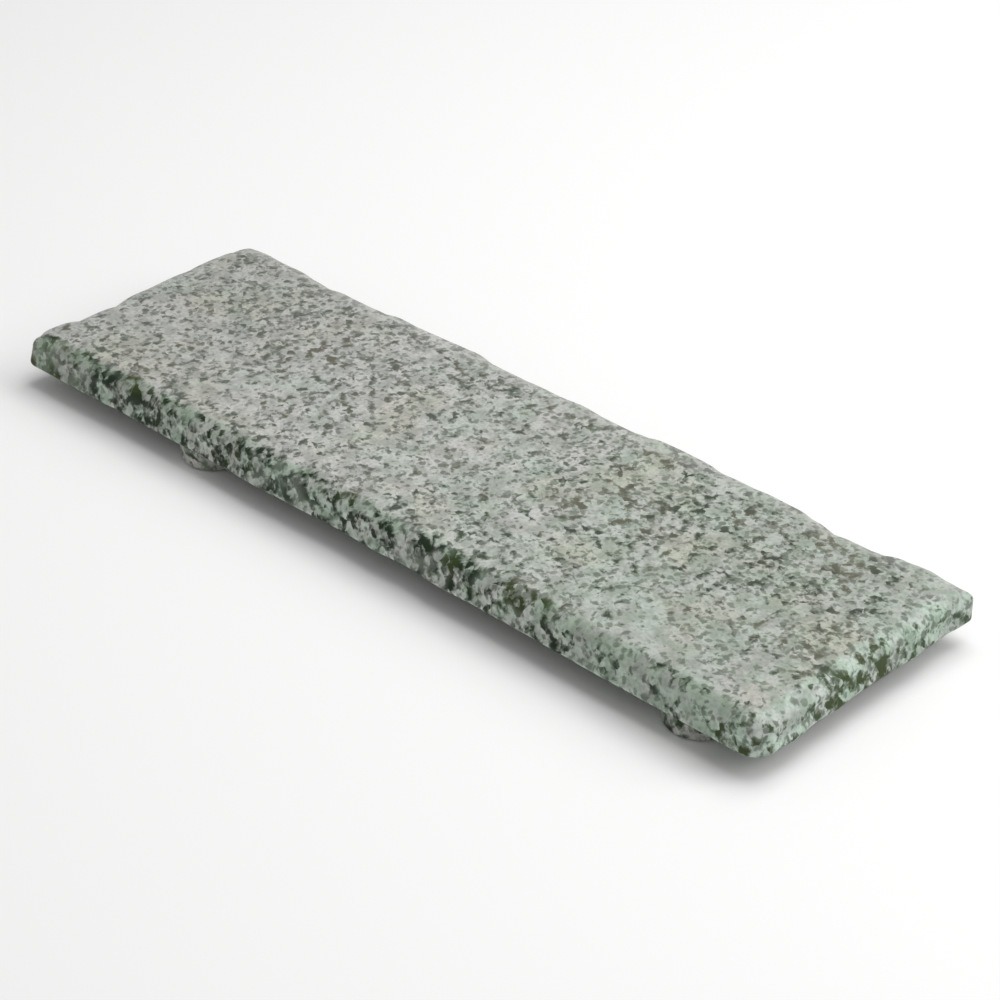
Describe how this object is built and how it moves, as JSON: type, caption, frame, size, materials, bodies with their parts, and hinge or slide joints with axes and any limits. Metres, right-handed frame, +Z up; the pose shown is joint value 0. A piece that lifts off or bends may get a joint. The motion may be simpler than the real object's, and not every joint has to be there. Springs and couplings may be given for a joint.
{
  "type": "serving tray",
  "caption": "Long, low serving tray that looks like a slab of hewn granite: flat top, soft uneven edges, hollow underneath, on short round feet.",
  "frame": {"origin": "on the table, under the middle of the tray's box", "axes": "+X along the tray's length, +Y across it to the rear side, +Z up"},
  "size_m": [0.53, 0.162, 0.032],
  "materials": {
    "stone_look_melamine": "satin, speckled like granite",
    "foot_melamine": "satin, speckled like granite",
    "pad_silicone": "matt"
  },
  "bodies": {
    "root": {"tray_shell": "stone_look_melamine", "foot_front_left": "foot_melamine", "foot_front_right": "foot_melamine", "foot_rear_right": "foot_melamine", "foot_rear_left": "foot_melamine", "pad_front_left": "pad_silicone", "pad_front_right": "pad_silicone", "pad_rear_right": "pad_silicone", "pad_rear_left": "pad_silicone"}
  },
  "joints": []
}
